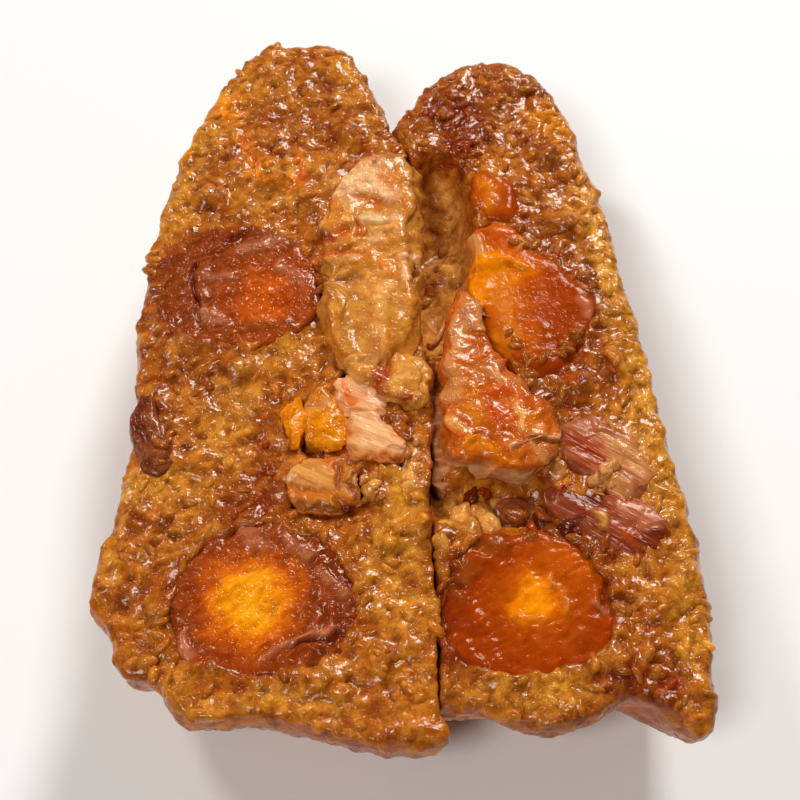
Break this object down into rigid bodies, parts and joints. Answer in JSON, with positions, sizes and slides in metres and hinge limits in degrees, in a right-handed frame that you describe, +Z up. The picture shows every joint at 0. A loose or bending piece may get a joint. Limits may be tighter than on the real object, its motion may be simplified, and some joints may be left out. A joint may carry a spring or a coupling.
{
  "type": "unwrapped zongzi",
  "caption": "Glutinous rice dumpling out of its leaf, cut lengthwise and opened flat, showing halved salted yolks, braised pork and mushroom in soy-brown rice.",
  "frame": {"origin": "on the table, under the middle of the box round both halves", "axes": "+Y from the blunt front end to the narrow far end, +Z up out of the cut faces, +X to the right half"},
  "size_m": [0.1016, 0.1522, 0.0307],
  "materials": {
    "sticky_rice": "moist, glossy grains",
    "salted_yolk": "oily satin",
    "pork_fat": "glossy, translucent",
    "lean_pork": "moist fibres",
    "mushroom": "moist satin"
  },
  "bodies": {
    "root": {"rice_left": "sticky_rice", "rice_right": "sticky_rice", "yolk_left_front": "salted_yolk", "yolk_left_back": "salted_yolk", "yolk_right_front": "salted_yolk", "yolk_right_back": "salted_yolk", "yolk_scrap_right": "salted_yolk", "yolk_crumb_left": "salted_yolk", "yolk_crumb_middle": "salted_yolk", "pork_skin_left": "pork_fat", "pork_fat_left": "pork_fat", "pork_belly_right": "pork_fat", "lean_left_back": "lean_pork", "lean_left_middle": "lean_pork", "lean_left_front": "lean_pork", "lean_groove_right": "lean_pork", "lean_right_back": "lean_pork", "lean_right_front": "lean_pork", "shrimp_right": "lean_pork", "mushroom_left": "mushroom", "mushroom_bit_right": "mushroom"}
  },
  "joints": []
}
